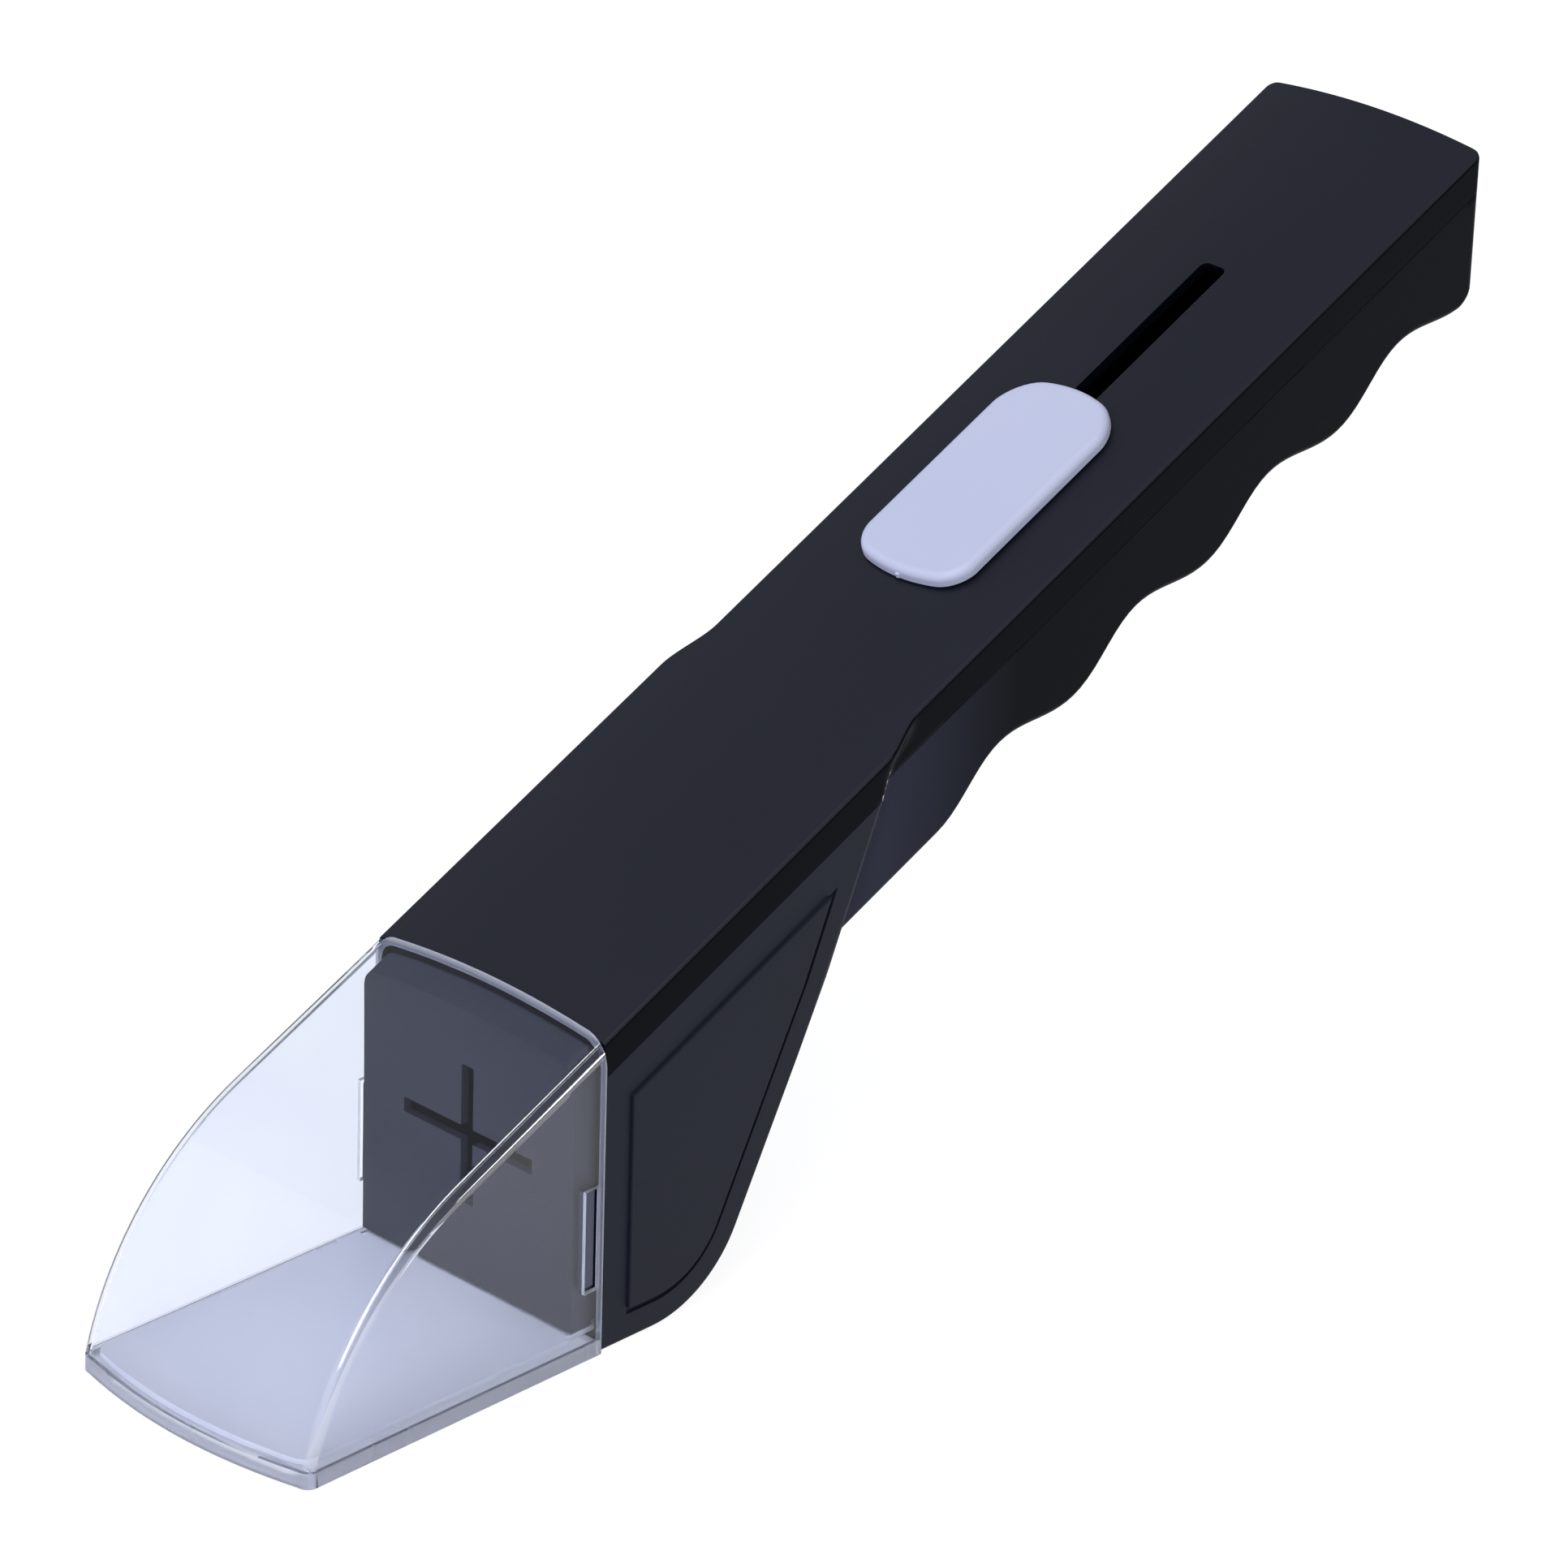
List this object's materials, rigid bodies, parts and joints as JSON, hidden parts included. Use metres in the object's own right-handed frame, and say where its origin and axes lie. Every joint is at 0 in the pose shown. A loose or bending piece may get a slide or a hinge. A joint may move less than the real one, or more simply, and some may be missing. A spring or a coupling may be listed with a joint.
{
  "type": "contactless bug catcher",
  "caption": "Hand-held bug catcher: clear arched hood with a sliding trap-door floor on a tilted finger-grooved grip, worked by a thumb slide.",
  "frame": {"origin": "centre of the bounding box's footprint, in the plane of the hood's open mouth", "axes": "+Z out of the mouth's plane towards the grip, -Y towards the hood's nose, +Y towards the grip's end, +X across"},
  "size_m": [0.041, 0.2174, 0.1222],
  "materials": {
    "black_abs": "satin moulded",
    "dark_abs": "satin moulded",
    "clear_styrene": "clear polished",
    "white_sheet": "smooth sheet",
    "white_abs": "satin moulded",
    "screw_steel": "plated"
  },
  "bodies": {
    "housing": {"top_cover": "black_abs", "grip_body": "black_abs", "bulkhead": "dark_abs", "hood": "clear_styrene", "door_guide": "dark_abs", "housing_screw_1": "screw_steel", "housing_screw_2": "screw_steel", "housing_screw_3": "screw_steel", "housing_screw_4": "screw_steel"},
    "button": {"thumb_button": "white_abs", "carriage": "white_abs", "clamp_plate": "white_abs", "button_screw": "screw_steel", "clamp_screw_1": "screw_steel", "clamp_screw_2": "screw_steel"},
    "door": {"trap_door": "white_sheet", "door_tail": "white_sheet"}
  },
  "joints": [
    {"name": "button_slide", "type": "slide", "parent": "housing", "child": "button", "axis": [0, 0.9063, 0.4226], "range_m": [0, 0.047]},
    {"name": "door_slide", "type": "slide", "parent": "housing", "child": "door", "axis": [0, 1, 0], "range_m": [0, 0.047], "deforming": ["trap_door", "door_tail"]}
  ],
  "couplings": [
    {"joint": "door_slide", "follows": "button_slide", "ratio": 1}
  ]
}
